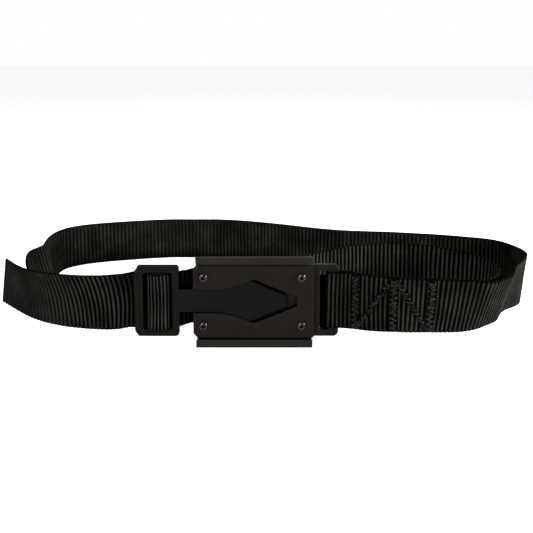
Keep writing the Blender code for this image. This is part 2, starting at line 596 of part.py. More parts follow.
# The front run's normal points away from the wearer or towards, so find the side that faces -Y.
side = -1.0 if frame_at(arc_on_front(100.0))[2].y > 0 else 1.0
o0, o1 = side * (WEB_T / 2 + 0.3), side * (WEB_T / 2 + 0.75)
BAR_S = [arc_on_front(x) for x in (77.0, 108.5, 139.5)]
for i, s in enumerate(BAR_S):
    ss = [s - 3.0, s, s + 3.0]
    finish(strip_bm(ss, 2.0, WEB_W - 2.0, o0, o1), f"stitch_bar_{i + 1}", M_THREAD)
for i, (sa, sb, up) in enumerate(((BAR_S[0] + 4.4, BAR_S[1] - 4.4, True), (BAR_S[1] + 4.4, BAR_S[2] - 4.4, False))):
    n = 6
    ss = [sa + (sb - sa) * j / n for j in range(n + 1)]
    c = [4.0 + (WEB_W - 8.0) * (j / n if up else 1 - j / n) for j in range(n + 1)]
    h0 = [max(2.0, v - 3.0) for v in c]
    h1 = [min(WEB_W - 2.0, v + 3.0) for v in c]
    finish(strip_bm(ss, h0, h1, o0, o1), f"stitch_diagonal_{i + 1}", M_THREAD)

# ------------------------------------------------- centre the belt on its origin
bpy.context.view_layer.update()
deps = bpy.context.evaluated_depsgraph_get()
lo, hi = Vector((1e9,) * 3), Vector((-1e9,) * 3)
for o in BUILT:
    e = o.evaluated_get(deps)
    for v in e.data.vertices:
        p = e.matrix_world @ v.co
        lo = Vector(map(min, lo, p))
        hi = Vector(map(max, hi, p))
root.location = (-(lo.x + hi.x) / 2, -(lo.y + hi.y) / 2, -lo.z)
bpy.context.view_layer.update()
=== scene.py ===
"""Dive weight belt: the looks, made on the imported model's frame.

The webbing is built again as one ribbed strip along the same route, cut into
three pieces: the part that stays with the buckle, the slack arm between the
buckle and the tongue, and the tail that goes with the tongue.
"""

import math

import bmesh
import bpy
import numpy as np
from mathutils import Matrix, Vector


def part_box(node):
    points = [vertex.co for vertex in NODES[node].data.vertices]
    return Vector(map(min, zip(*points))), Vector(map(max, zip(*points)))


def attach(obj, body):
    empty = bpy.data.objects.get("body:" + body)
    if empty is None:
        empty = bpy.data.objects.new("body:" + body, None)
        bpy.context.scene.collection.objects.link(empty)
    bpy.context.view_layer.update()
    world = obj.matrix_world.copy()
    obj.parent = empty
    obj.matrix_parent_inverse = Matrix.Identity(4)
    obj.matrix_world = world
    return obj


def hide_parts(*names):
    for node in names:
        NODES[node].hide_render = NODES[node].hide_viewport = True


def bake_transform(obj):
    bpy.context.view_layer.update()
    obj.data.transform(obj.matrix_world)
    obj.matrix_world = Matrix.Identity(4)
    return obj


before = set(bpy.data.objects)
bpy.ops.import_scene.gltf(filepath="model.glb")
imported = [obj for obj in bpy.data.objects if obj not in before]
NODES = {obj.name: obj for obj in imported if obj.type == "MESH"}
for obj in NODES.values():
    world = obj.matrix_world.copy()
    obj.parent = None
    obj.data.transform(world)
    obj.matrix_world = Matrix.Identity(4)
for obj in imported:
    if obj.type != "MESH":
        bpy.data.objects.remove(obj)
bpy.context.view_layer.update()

MM = 0.001
# Design coordinates are in millimetres from the buckle's camera axis and front face.
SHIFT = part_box("front_plate")[0] - Vector((-0.0636, 0.0, 0.008))

# ---------------------------------------------------------------- dimensions
WEB_W = 50.0
ZC = 40.5
ZB = ZC - WEB_W / 2
PITCH = 4.0            # one rib of the weave
CORE, CREST = 0.50, 1.14   # half thickness in a groove and on a rib

LAP = [
    (152.0, -5.5, ZB, 3, -6), (133.0, -4.9, ZB, 0, -5), (120.0, -4.4, ZB, 0, -4),
    (105.0, -2.9, ZB, 0, -3), (90.0, -0.2, ZB, 0, -1), (80.0, 3.0, ZB, 0, 0),
    (72.0, 7.0, ZB, 0, 0), (65.0, 9.6, ZB, 0, 0), (60.0, 10.0, ZB, 0, 0),
]
BAR_TURN = (56.6, 6.2, 3.6)   # centre and radius of the strip's turn on the slot's bar
FRONT = [
    (60.0, 2.6, ZB, 0, 0), (66.0, 2.4, ZB, 0, 0), (75.0, 1.0, ZB, 0, 0),
    (90.0, -3.0, ZB, 0, -1), (105.0, -5.5, ZB, 0, -3), (120.0, -7.0, ZB, 0, -4),
    (133.0, -7.5, ZB, 0, -5), (150.0, -8.1, ZB, 3, -6), (169.5, -8.0, ZB, 6, -8),
    (184.0, -6.0, ZB, 8, -12), (202.5, 4.4, ZB, 10, -11), (209.5, 9.5, ZB, 10, -10),
]
RIGHT = [
    (219.8, 25.0, 15.4, 10.5, -6), (230.0, 36.0, 14.6, 12, -3), (243.3, 49.3, 12.8, 9, 1),
    (252.3, 62.8, 10.6, 7, 3), (257.5, 79.0, 8.0, 4, 2), (261.0, 98.0, 4.5, 1, 0),
    (260.5, 115.0, 2.0, 0, 0), (255.0, 127.0, 0.8, 0, 0), (246.0, 134.5, 0.3, 0, 0),
]
BACK = [
    (225.0, 142.0, 0, 0, 0), (200.0, 148.5, 0, 0, 0), (182.0, 152.0, 0, 0, 0),
    (147.0, 158.0, 0, 0, 0), (91.0, 164.0, 0, 0, 0), (64.0, 171.0, 0, 0, 0),
    (16.6, 188.0, 0, 0, 0), (-33.0, 202.6, 0, 0, 0), (-62.0, 207.0, 0, 0, 0),
    (-74.0, 207.0, 0, 0, 0), (-106.0, 207.0, 0, 0, 0), (-118.0, 207.0, 0, 0, 0),
    (-147.0, 203.4, 0, 0, 0),
    (-201.0, 191.5, 0, 0, 0), (-227.0, 181.4, 0, 0, 0),
]
LEFT = [
    (-240.0, 170.0, 0, 0, 0), (-244.0, 158.0, 0.16, -1.8, 0), (-243.5, 143.0, 0.4, -6, 0),
    (-240.0, 128.0, 1.0, -9, 0), (-235.8, 114.5, 1.6, -12, 0), (-238.0, 106.0, 2.0, -12.5, 0),
    (-240.4, 97.5, 2.5, -12.5, 0), (-238.7, 86.0, 3.3, -13, -1.2), (-233.1, 72.0, 3.8, -12.8, -3.9),
    (-224.9, 56.0, 4.2, -12.5, -6.4), (-216.7, 43.0, 5.3, -9, -10), (-206.4, 34.0, 6.6, -6.5, -10),
    (-195.0, 27.0, 7.9, -4.3, -9.6),
]
PASS = [
    (-174.4, 18.5, 9.2, -2.2, -8.7), (-149.6, 12.8, 10.3, -1, -5.5), (-132.0, 11.0, 11.4, 0, -2.5),
    (-118.0, 10.5, 12.0, 0, 0), (-95.0, 10.5, 12.0, 0, 0), (-79.0, 11.6, 12.0, 0, 0),
    (-68.0, 16.0, 13.8, 0, 0),
    (-60.0, 18.8, 14.8, 0, 0), (-50.0, 19.6, ZB, 0, 0), (-30.0, 21.0, ZB, 0, 0),
    (-10.0, 24.5, ZB, 0, 0), (8.0, 30.5, ZB, 0, 0), (25.0, 38.0, ZB, 0, 0),
    (41.5, 47.0, ZB, 0, 0), (60.7, 58.0, ZB, 0, 0), (87.0, 70.5, ZB, 0, 0),
    (109.5, 77.0, ZB, 0, 0), (138.5, 77.5, ZB, 0, 0), (158.4, 71.5, ZB, 0, 0),
    (176.7, 62.0, ZB, 0, 0), (191.0, 52.0, ZB, 0, 0),
]
TURN = [
    (200.0, 41.0, ZB, 3, 0), (204.0, 28.0, ZB, 5, 0), (203.0, 17.0, ZB, 7, -4),
    (198.0, 8.5, ZB, 7, -8), (190.0, 2.2, ZB, 5, -12),
]
ARM = [
    (180.0, -2.8, 15.3, 5, -10), (169.5, -4.6, 15.0, 4, -8), (158.0, -4.0, 14.5, 2, -6),
    (148.0, -2.4, 14.1, 1, -5), (133.0, -1.9, 13.5, 0, -4), (120.0, -1.3, 13.0, 0, -3),
    (105.0, 0.4, 12.5, 0, -2), (90.0, 3.6, 12.0, 0, -1), (80.0, 7.4, 11.5, 0, 0),
    (70.0, 12.2, 10.2, 0, 0), (60.0, 15.2, 8.8, 0, 0), (50.0, 15.8, 8.5, 0, 0),
    (0.0, 15.9, 11.8, 0, 0), (-48.0, 15.9, 15.0, 0, 0), (-58.5, 15.5, ZB, 0, 0),
    (-65.0, 12.9, ZB, 0, 0), (-71.0, 9.6, ZB, 0, 0), (-78.0, 7.5, ZB, 0, 0),
]
TAIL = [
    (-82.4, 7.0, ZB, 0, 0), (-84.5, 4.9, ZB, 0, 0), (-85.2, 2.6, ZB, 0, 0),
    (-86.3, 0.0, ZB, 0, 0), (-89.5, -1.6, ZB, 0, 0), (-94.0, -2.1, ZB, 0, 0),
    (-98.5, -1.6, ZB, 0, 0), (-101.6, 0.4, ZB, 0, 0), (-102.9, 3.6, ZB, 0, 0),
    (-105.2, 6.6, ZB, 0, 0), (-110.0, 7.2, ZB, 0, 0), (-115.5, 6.9, 15.3, 0, 0),
    (-122.0, 5.0, 14.6, 0, 0), (-132.0, 2.8, 13.9, -0.5, -0.5), (-150.0, 2.4, 13.9, -1.5, -1.8),
    (-163.0, 3.2, 14.1, -2, -2.9), (-176.0, 4.8, 14.4, -2.4, -3.4), (-193.0, 9.0, 14.8, -2.2, -4.8),
    (-206.0, 14.0, 15.0, -1, -6.8), (-217.0, 20.0, 15.3, 1, -8.6), (-227.0, 27.0, 15.8, 4, -10.4),
    (-237.5, 35.0, 16.7, 7.5, -11.6), (-247.0, 41.5, 18.4, 11, -12),
]
PER_SEG = 24


def bar_turn():
    cx, cy, r = BAR_TURN
    return [(cx + r * math.cos(math.radians(a)), cy + r * math.sin(math.radians(a)), ZB, 0, 0)
            for a in range(90, 271, 30)]


GROUPS = [("lap", LAP + bar_turn() + FRONT[:10]), ("right", FRONT[10:] + RIGHT), ("back", BACK),
          ("left", LEFT), ("pass", PASS), ("turn", TURN), ("arm", ARM), ("tail", TAIL)]


# ------------------------------------------------------------ the webbing path
def smooth_path():
    """Dense samples of the whole strip, and the sample index where each group starts."""
    pts = [p for _, g in GROUPS for p in g]
    out, starts, first = [], {}, 0
    for name, g in GROUPS:
        starts[name] = first * PER_SEG
        first += len(g)
    n = len(pts)

    def ghost(i):
        if i < 0:
            return tuple(2 * a - b for a, b in zip(pts[0], pts[1]))
        if i >= n:
            return tuple(2 * a - b for a, b in zip(pts[-1], pts[-2]))
        return pts[i]

    for i in range(n - 1):
        p = [ghost(i - 1), ghost(i), ghost(i + 1), ghost(i + 2)]
        t = [0.0]
        for a, b in zip(p, p[1:]):
            t.append(t[-1] + max(math.hypot(a[0] - b[0], a[1] - b[1]), 1e-6) ** 0.5)
        for j in range(PER_SEG):
            u = t[1] + (t[2] - t[1]) * j / PER_SEG
            row = []
            for c in range(5):
                a1 = (t[1] - u) / (t[1] - t[0]) * p[0][c] + (u - t[0]) / (t[1] - t[0]) * p[1][c]
                a2 = (t[2] - u) / (t[2] - t[1]) * p[1][c] + (u - t[1]) / (t[2] - t[1]) * p[2][c]
                a3 = (t[3] - u) / (t[3] - t[2]) * p[2][c] + (u - t[2]) / (t[3] - t[2]) * p[3][c]
                b1 = (t[2] - u) / (t[2] - t[0]) * a1 + (u - t[0]) / (t[2] - t[0]) * a2
                b2 = (t[3] - u) / (t[3] - t[1]) * a2 + (u - t[1]) / (t[3] - t[1]) * a3
                row.append((t[2] - u) / (t[2] - t[1]) * b1 + (u - t[1]) / (t[2] - t[1]) * b2)
            row[2] = max(row[2], math.hypot(row[3], row[4]) / WEB_W)
            out.append(row)
    out.append(list(pts[-1]))
    return np.array(out), starts


PATH, STARTS = smooth_path()
ARC = np.concatenate([[0.0], np.cumsum(np.hypot(np.diff(PATH[:, 0]), np.diff(PATH[:, 1])))])
LENGTH = float(ARC[-1])
START = {k: float(ARC[i]) for k, i in STARTS.items()}


def sample(s):
    return np.stack([np.interp(s, ARC, PATH[:, c]) for c in range(5)], -1)


def frames(s):
    """Lower edge, direction up the width, normal and tangent at each arc length."""
    s = np.asarray(s, float)
    v, a, b = sample(s), sample(s - 0.4), sample(s + 0.4)
    tan = np.zeros(s.shape + (3,))
    tan[..., :2] = b[..., :2] - a[..., :2]
    tan /= np.linalg.norm(tan, axis=-1, keepdims=True)
    dx, dy = v[..., 3], v[..., 4]
    rise = np.stack([dx, dy, np.sqrt(WEB_W ** 2 - dx ** 2 - dy ** 2)], -1) / WEB_W
    low = np.stack([v[..., 0] - dx / 2, v[..., 1] - dy / 2, v[..., 2]], -1)
    nor = np.cross(tan, rise)
    nor /= np.linalg.norm(nor, axis=-1, keepdims=True)
    return low, rise, nor, tan


def arc_at(group, x):
    """Arc length where the strip passes a given X, searching back from a group's end or start."""
    i = STARTS[group]
    while i > 0 and PATH[i][0] > x:
        i -= 1
    return float(ARC[i])


def arc_of_tail(x):
    i = len(PATH) - 1
    while PATH[i][0] < x:
        i -= 1
    return float(ARC[i])


def smoothstep(x, a, b):
    t = np.clip((x - a) / (b - a), 0, 1)
    return t * t * (3 - 2 * t)


# Where the stitching draws the strip together: bars across it, and diagonals between them.
BAR_S = [arc_at("right", x) for x in (77.0, 108.5, 139.5)]
DIAGONALS = [(BAR_S[0] + 3.0, BAR_S[1] - 3.0, True), (BAR_S[1] + 3.0, BAR_S[2] - 3.0, False)]
FRONT_SIDE = -1.0 if frames([BAR_S[1]])[2][0][1] > 0 else 1.0
TAIL_BOW = ([arc_of_tail(x) for x in (-100.0, -124.0, -165.0, -190.0)] + [LENGTH], [0.0, 4.2, 6.8, 6.5, 1.0])
# Rib spacing along the strip: tighter where it is pulled around the bars, looser along the back.
SPACING = [(0.0, 3.5), (START["right"] - 150.0, 3.5), (START["right"] - 110.0, 3.85), (START["right"], 3.9),
           (START["back"] - 40.0, 4.2), (START["back"], 4.4), (START["left"], 4.4), (START["turn"], 4.3),
           (START["tail"] - 6.0, 4.0), (START["tail"] + 2.0, 2.8), (START["tail"] + 22.0, 2.8),
           (START["tail"] + 32.0, 3.75), (LENGTH, 3.7)]
BEHIND = ((START["pass"] + 30.0, START["pass"] + 40.0), (START["pass"] + 110.0, START["pass"] + 120.0))
GRID = np.arange(0.0, LENGTH + 0.5, 0.5)
PHASE = np.concatenate([[0.0], np.cumsum(0.5 / np.interp(GRID[:-1] + 0.25, *zip(*SPACING)))])
# Where the ribs show less: partly the weave worn flat, partly painted sheen, an even mid tone put in place of the ribs'
# painted shade.
WEAVE_WEAR_AND_SHEEN = [(0.0, 0.0), (START["right"] - 95.0, 0.0), (START["right"] - 50.0, 0.2), (START["right"] - 15.0, 0.4), (START["right"] + 15.0, 0.55), (START["back"] - 30.0, 0.5),
          (START["back"], 0.5), (START["back"] + 150.0, 0.6), (START["left"] - 120.0, 0.7), (START["left"], 0.65),
          (START["pass"], 0.5), (START["pass"] + 80.0, 0.0), (arc_of_tail(-125.0), 0.0), (arc_of_tail(-160.0), 0.12),
          (arc_of_tail(-182.0), 0.5),
          (arc_of_tail(-200.0), 0.85), (LENGTH, 0.92)]


def stitched(s, h):
    """How much the stitching presses the weave flat at a point, 0 to 1."""
    w = np.zeros_like(s)
    for b in BAR_S:
        w = np.maximum(w, 1 - smoothstep(np.abs(s - b), 3.0, 4.2))
    for a, b, up in DIAGONALS:
        t = (s - a) / (b - a)
        line = 4.0 + (WEB_W - 8.0) * (t if up else 1 - t)
        inside = (t > -0.08) & (t < 1.08)
        w = np.maximum(w, np.where(inside, 1 - smoothstep(np.abs(h - line), 2.2, 4.4), 0))
    return w


def drift(s, h):
    """How far the ribs wander along the strip, as woven webbing does once it is worn."""
    u = h / WEB_W
    d = 0.55 * np.sin(s / 21.0 + 1.3) * ((2 * u - 1) ** 2 - 0.4)
    d += 0.45 * np.sin(s / 13.7 + 0.4) * (2 * u - 1)
    d += 0.14 * np.sin(s / 2.9 + 7.0 * u) + 0.10 * np.sin(s * 1.7 + 3.0 * u * np.sin(s / 5.0))
    return d + np.interp(s, *TAIL_BOW) * (u ** 3 - 0.17 * np.sin(np.pi * u))


U_OF_RIB = (0.0, 0.085, 0.26, 0.5, 0.74, 0.915)
HEIGHTS = [0.0, 0.45, 1.2, 2.6, 5.0, 8.5, 12.5, 17.0, 21.0, 25.0, 29.0, 33.0, 37.5, 41.5, 45.0, 47.4, 48.8, 49.55, 50.0]


def webbing(name, s0, s1, hide0=False, hide1=False):
    """A closed ribbed strip between two arc lengths. The hide0 and hide1 arguments, for a hidden end that meets the
    next piece, are not used.
    """
    rows = [s0]
    for k in range(int(np.interp(s0, GRID, PHASE)) - 1, int(np.interp(s1, GRID, PHASE)) + 2):
        for u in U_OF_RIB:
            s = float(np.interp(k + u, PHASE, GRID))
            if s0 + 0.12 < s < s1 - 0.12:
                rows.append(s)
    rows.append(s1)
    s = np.array(rows)
    phase = np.interp(s, GRID, PHASE)
    u = phase % 1.0
    rib = np.sin(np.pi * u) ** 0.75
    n = len(HEIGHTS)
    ring_h, ring_o = [], []
    for j, h in enumerate(HEIGHTS):
        ring_h.append(h)
        ring_o.append(0.0 if j in (0, n - 1) else 1.0)
    for j in range(n - 2, 0, -1):
        ring_h.append(HEIGHTS[j])
        ring_o.append(-1.0)
    ring_h, ring_o = np.array(ring_h), np.array(ring_o)
    m = len(ring_h)
    S = np.repeat(s[:, None], m, 1)
    H = np.repeat(ring_h[None, :], len(s), 0)
    R = np.repeat(rib[:, None], m, 1)
    press = stitched(S, H)
    R = R * (1 - 0.35 * press)
    edge = np.minimum(H, WEB_W - H)
    rim = np.sqrt(np.clip(1 - (1 - np.clip(edge / 1.5, 0, 1)) ** 2, 0, 1))
    half = (CORE + (CREST - CORE) * R) * (0.5 + 0.5 * rim) - 0.16 * press
    # The selvedge: each rib's yarn turns back there, so the edge is scalloped.
    inward = 0.34 * (1 - R) * (1 - smoothstep(edge, 0.0, 2.6))
    # Behind the tongue's window the strip lies flat and its edges run straight.
    inward = inward * (1 - smoothstep(S, *BEHIND[0]) * (1 - smoothstep(S, *BEHIND[1])))
    Hs = H + np.where(H < WEB_W / 2, inward, -inward)
    fade = smoothstep(S, s0, s0 + 6.0) * (1 - smoothstep(S, s1 - 6.0, s1))
    Sd = S + drift(S, H) * fade
    low, rise, nor, tan = frames(np.clip(Sd, s0, s1))
    ripple = 0.10 * np.sin(S / 17.0 + H / 9.0) * fade
    P = low + rise * Hs[..., None] + nor * (half * ring_o[None, :] + ripple)[..., None]
    P[..., 2] = np.maximum(P[..., 2], 0.0)
    verts = P.reshape(-1, 3) * MM + np.array(SHIFT)
    faces = []
    for i in range(len(s) - 1):
        for j in range(m):
            q = (j + 1) % m
            faces.append((i * m + j, i * m + q, (i + 1) * m + q, (i + 1) * m + j))
    last = (len(s) - 1) * m
    for base, flip in ((0, True), (last, False)):
        for j in range(n - 1):
            a, b = j, j + 1
            c, d = (m - b) % m, (m - a) % m
            f = [base + a, base + b, base + c, base + d]
            f = [v for i, v in enumerate(f) if v not in f[:i]]
            if len(f) > 2:
                faces.append(tuple(f if flip else reversed(f)))
    me = bpy.data.meshes.new(name)
    me.from_pydata(verts.tolist(), [], faces)
    uv = me.uv_layers.new(name="strip")
    co = np.stack([np.repeat(phase[:, None], m, 1).ravel() * PITCH * MM, H.ravel() * MM], -1)
    loops = np.empty(len(me.loops), np.int32)
    me.loops.foreach_get("vertex_index", loops)
    uv.data.foreach_set("uv", co[loops].astype(np.float32).ravel())
    at = me.attributes.new("crest", "FLOAT", "POINT")
    at.data.foreach_set("value", R.ravel().astype(np.float32))
    # Per point: how worn flat the weave is, together with its painted sheen, from the table above and the stitching's
    # press.
    at = me.attributes.new("wear_and_sheen", "FLOAT", "POINT")
    flat = np.maximum(np.interp(S, *zip(*WEAVE_WEAR_AND_SHEEN)), 0.6 * press)
    at.data.foreach_set("value", flat.ravel().astype(np.float32))
    bm = bmesh.new()
    bm.from_mesh(me)
    bmesh.ops.recalc_face_normals(bm, faces=bm.faces)
    bm.to_mesh(me)
    bm.free()
    me.shade_smooth()
    me.set_sharp_from_angle(angle=math.radians(70))
    o = bpy.data.objects.new(name, me)
    bpy.context.scene.collection.objects.link(o)
    return o


# ----------------------------------------------------------------- materials
class Nodes:
    """A small helper that adds shader nodes and links them."""

    def __init__(self, name):
        self.mat = bpy.data.materials.new(name)
        self.mat.use_nodes = True
        self.tree = self.mat.node_tree
        self.tree.nodes.clear()
        self.out = self.add("ShaderNodeOutputMaterial")
        self.bsdf = self.add("ShaderNodeBsdfPrincipled")
        self.tree.links.new(self.bsdf.outputs[0], self.out.inputs[0])

    def add(self, kind, **props):
        n = self.tree.nodes.new(kind)
        for k, v in props.items():
            setattr(n, k, v)
        return n

    def put(self, socket, value):
        if isinstance(value, bpy.types.NodeSocket):
            self.tree.links.new(value, socket)
        else:
            socket.default_value = value

    def math(self, op, a, b=0.0, c=0.0, clamp=False):
        n = self.add("ShaderNodeMath", operation=op, use_clamp=clamp)
        for i, v in enumerate((a, b, c)):
            self.put(n.inputs[i], v)
        return n.outputs[0]

    def mix(self, f, a, b):
        n = self.add("ShaderNodeMix", data_type="RGBA")
        self.put(n.inputs[0], f)
        self.put(n.inputs[6], a)
        self.put(n.inputs[7], b)
        return n.outputs[2]

    def ramp(self, v, stops):
        n = self.add("ShaderNodeValToRGB")
        e = n.color_ramp.elements
        while len(e) < len(stops):
            e.new(0.5)
        for q, (pos, col) in zip(e, stops):
            q.position = pos
            q.color = col if len(col) == 4 else (*col, 1)
        self.put(n.inputs[0], v)
        return n.outputs[0]

    def rerange(self, v, a, b, c, d):
        n = self.add("ShaderNodeMapRange")
        for i, x in enumerate((v, a, b, c, d)):
            self.put(n.inputs[i], x)
        return n.outputs[0]

    def noise(self, scale, detail=4.0, rough=0.55, vector=None):
        n = self.add("ShaderNodeTexNoise")
        n.inputs["Scale"].default_value = scale
        n.inputs["Detail"].default_value = detail
        n.inputs["Roughness"].default_value = rough
        self.put(n.inputs["Vector"], vector or self.coords())
        return n.outputs["Fac"]

    def coords(self, scale=None):
        if not hasattr(self, "_co"):
            self._co = self.add("ShaderNodeTexCoord").outputs["Object"]
        if scale is None:
            return self._co
        m = self.add("ShaderNodeMapping")
        m.inputs["Scale"].default_value = scale
        self.put(m.inputs[0], self._co)
        return m.outputs[0]

    def bump(self, height, distance, strength=1.0, normal=None):
        n = self.add("ShaderNodeBump")
        n.inputs["Strength"].default_value = strength
        n.inputs["Distance"].default_value = distance
        self.put(n.inputs["Height"], height)
        if normal is not None:
            self.put(n.inputs["Normal"], normal)
        return n.outputs[0]

    def edges(self, radius):
        """1 where the surface turns sharply within the radius, 0 on flats."""
        bev = self.add("ShaderNodeBevel", samples=6)
        bev.inputs["Radius"].default_value = radius
        geo = self.add("ShaderNodeNewGeometry")
        dot = self.add("ShaderNodeVectorMath", operation="DOT_PRODUCT")
        self.put(dot.inputs[0], bev.outputs[0])
        self.put(dot.inputs[1], geo.outputs["Normal"])
        return self.math("SUBTRACT", 1.0, dot.outputs["Value"], clamp=True)

    def set(self, **kw):
        for k, v in kw.items():
            self.put(self.bsdf.inputs[k.replace("_", " ")], v)
        return self.mat


def webbing_material():
    m = Nodes("ribbed_nylon_webbing")
    uv = m.add("ShaderNodeUVMap", uv_map="strip").outputs[0]
    sep = m.add("ShaderNodeSeparateXYZ")
    m.put(sep.inputs[0], uv)
    u, v = sep.outputs[0], sep.outputs[1]
    crest = m.add("ShaderNodeAttribute", attribute_name="crest").outputs["Fac"]
    rib = m.math("DIVIDE", u, PITCH * MM)
    k = m.math("FLOOR", rib)
    # Warp yarns, 1.05 mm apart, that cover each rib and swap over from one rib to the next.
    yarn = m.math("ADD", m.math("DIVIDE", v, 1.05 * MM), m.math("MULTIPLY", k, 0.5))
    yarn = m.math("ABSOLUTE", m.math("SINE", m.math("MULTIPLY", yarn, math.pi)))
    # Fibres lie along the strip, so their noise is drawn out that way.
    fibre_map = m.add("ShaderNodeMapping")
    fibre_map.inputs["Scale"].default_value = (900.0, 9000.0, 1.0)
    m.put(fibre_map.inputs[0], uv)
    fibre = m.noise(1.0, 3.0, 0.6, fibre_map.outputs[0])
    patch = m.noise(38.0, 5.0, 0.6)
    speck = m.noise(1400.0, 2.0, 0.7)
    wear_and_sheen = m.add("ShaderNodeAttribute", attribute_name="wear_and_sheen").outputs["Fac"]
    # Painted shade and highlight: the tone falls almost to black in the grooves between the ribs and rises on the
    # crests, as if they caught the light.
    tone = m.math("MULTIPLY", m.math("POWER", crest, 2.6), m.rerange(yarn, 0.0, 1.0, 0.55, 1.0))
    # Where worn flat, and as painted sheen, the tone is evened towards a mid value of 0.43, in place of the ribs'
    # painted shade.
    tone = m.math("ADD", m.math("MULTIPLY", tone, m.math("SUBTRACT", 1.0, wear_and_sheen)), m.math("MULTIPLY", wear_and_sheen, 0.43))
    tone = m.math("MULTIPLY", tone, m.rerange(patch, 0.3, 0.7, 0.72, 1.25))
    tone = m.math("MULTIPLY", tone, m.rerange(fibre, 0.3, 0.7, 0.8, 1.2))
    tone = m.math("ADD", tone, m.math("MULTIPLY", m.math("GREATER_THAN", speck, 0.68), 0.18), clamp=True)
    # Painted shade: ambient occlusion darkens the tone, down to a tenth, where other parts or turns of the strip come
    # within 22 mm.
    painted_shade_ao = m.add("ShaderNodeAmbientOcclusion", samples=8, only_local=False)
    painted_shade_ao.inputs["Distance"].default_value = 0.022
    ao_openness = m.math("POWER", painted_shade_ao.outputs["AO"], 1.4)
    tone = m.math("MULTIPLY", tone, m.rerange(ao_openness, 0.1, 0.7, 0.10, 1.0))
    # Painted shade along both selvedges: the tone drops to 0.4 at each edge and recovers within 1.6 mm, against the
    # light the scalloped edges catch.
    rim = m.math("MINIMUM", v, m.math("SUBTRACT", WEB_W * MM, v))
    tone = m.math("MULTIPLY", tone, m.rerange(rim, 0.0, 0.0016, 0.40, 1.0))
    color = m.ramp(tone, [(0.0, (0.0003, 0.0003, 0.0002)), (0.45, (0.0019, 0.0019, 0.0010)),
                          (1.0, (0.0340, 0.0335, 0.0180))])
    rough = m.rerange(tone, 0.0, 1.0, 0.9, 0.5)
    # The specular level follows the tone, so its painted shade in the grooves, by other parts and along the edges also
    # dims the reflection.
    shine = m.rerange(tone, 0.2, 1.0, 0.01, 0.30)
    b = m.bump(yarn, 0.00016, 0.9)
    b = m.bump(fibre, 0.00005, 0.8, b)
    return m.set(Base_Color=color, Roughness=rough, Normal=b, Specular_IOR_Level=shine)


def thread_material():
    m = Nodes("bonded_thread")
    n = m.noise(2400.0, 3.0, 0.6)
    w = m.noise(620.0, 2.0, 0.6)
    color = m.ramp(w, [(0.42, (0.0022, 0.0022, 0.0015)), (0.60, (0.034, 0.033, 0.023))])
    return m.set(Base_Color=color, Roughness=m.rerange(n, 0.3, 0.7, 0.5, 0.75), Normal=m.bump(n, 0.00008, 0.7),
                 Specular_IOR_Level=m.rerange(w, 0.4, 0.65, 0.03, 0.3))


def coated_metal(name, base, light, rough, metallic=0.35, wear_and_sheen_color=(0.070, 0.063, 0.053), blast=0.00003, edge=0.9,
                 spec=0.22, shade=0.006):
    """Bead-blasted metal under a thin black coat, paler along its edges, partly worn and partly a painted highlight,
    and with painted shade where other parts come close.
    """
    m = Nodes(name)
    grain = m.noise(2600.0, 2.0, 0.7)
    cloud = m.noise(26.0, 5.0, 0.6)
    streak = m.noise(1.0, 4.0, 0.6, m.coords((140.0, 140.0, 1500.0)))
    # Paler edges: partly the coat worn through, partly a painted highlight where the edges catch the light.
    wear_and_sheen = m.math("MULTIPLY", m.edges(0.0007), m.rerange(m.noise(240.0, 4.0, 0.7), 0.35, 0.65, 0.15, 1.6))
    wear_and_sheen = m.math("MULTIPLY", wear_and_sheen, edge, clamp=True)
    color = m.mix(m.rerange(cloud, 0.3, 0.7, 0.0, 1.0), (*base, 1), (*light, 1))
    color = m.mix(m.math("MULTIPLY", m.math("GREATER_THAN", grain, 0.64), 0.35), color, (*wear_and_sheen_color, 1))
    color = m.mix(wear_and_sheen, color, (*wear_and_sheen_color, 1))
    # Painted shade: where other parts come within the shade distance, as in the tongue's pocket and round the screw
    # heads, the colour goes almost black and the specular level falls.
    painted_shade_ao = m.add("ShaderNodeAmbientOcclusion", samples=8, only_local=False)
    painted_shade_ao.inputs["Distance"].default_value = shade
    ao_openness = m.rerange(m.math("POWER", painted_shade_ao.outputs["AO"], 1.6), 0.05, 0.55, 0.0, 1.0)
    color = m.mix(ao_openness, (0.0006, 0.0005, 0.0004, 1), color)
    r = m.math("ADD", m.rerange(cloud, 0.3, 0.7, rough - 0.05, rough + 0.07), m.math("MULTIPLY", streak, 0.05))
    b = m.bump(grain, blast, 0.8)
    b = m.bump(streak, blast * 0.5, 0.35, b)
    return m.set(Base_Color=color, Roughness=r, Metallic=metallic, Normal=b,
                 Specular_IOR_Level=m.math("MULTIPLY", ao_openness, spec))


def moulded_plastic(name, base, light, rough):
    """Spark-textured black acetal, paler along its edges, partly faintly worn and partly a painted highlight."""
    m = Nodes(name)
    grain = m.noise(1700.0, 3.0, 0.65)
    cloud = m.noise(32.0, 4.0, 0.6)
    # Paler edges: partly faintly worn, partly a painted highlight where the edges catch the light.
    wear_and_sheen = m.math("MULTIPLY", m.edges(0.0006), m.rerange(m.noise(300.0, 3.0, 0.6), 0.35, 0.65, 0.1, 0.8), clamp=True)
    color = m.mix(m.rerange(cloud, 0.3, 0.7, 0.0, 1.0), (*base, 1), (*light, 1))
    color = m.mix(wear_and_sheen, color, (0.030, 0.029, 0.026, 1))
    return m.set(Base_Color=color, Roughness=m.rerange(grain, 0.3, 0.7, rough - 0.06, rough + 0.08),
                 Normal=m.bump(grain, 0.00004, 0.8), Specular_IOR_Level=0.10)


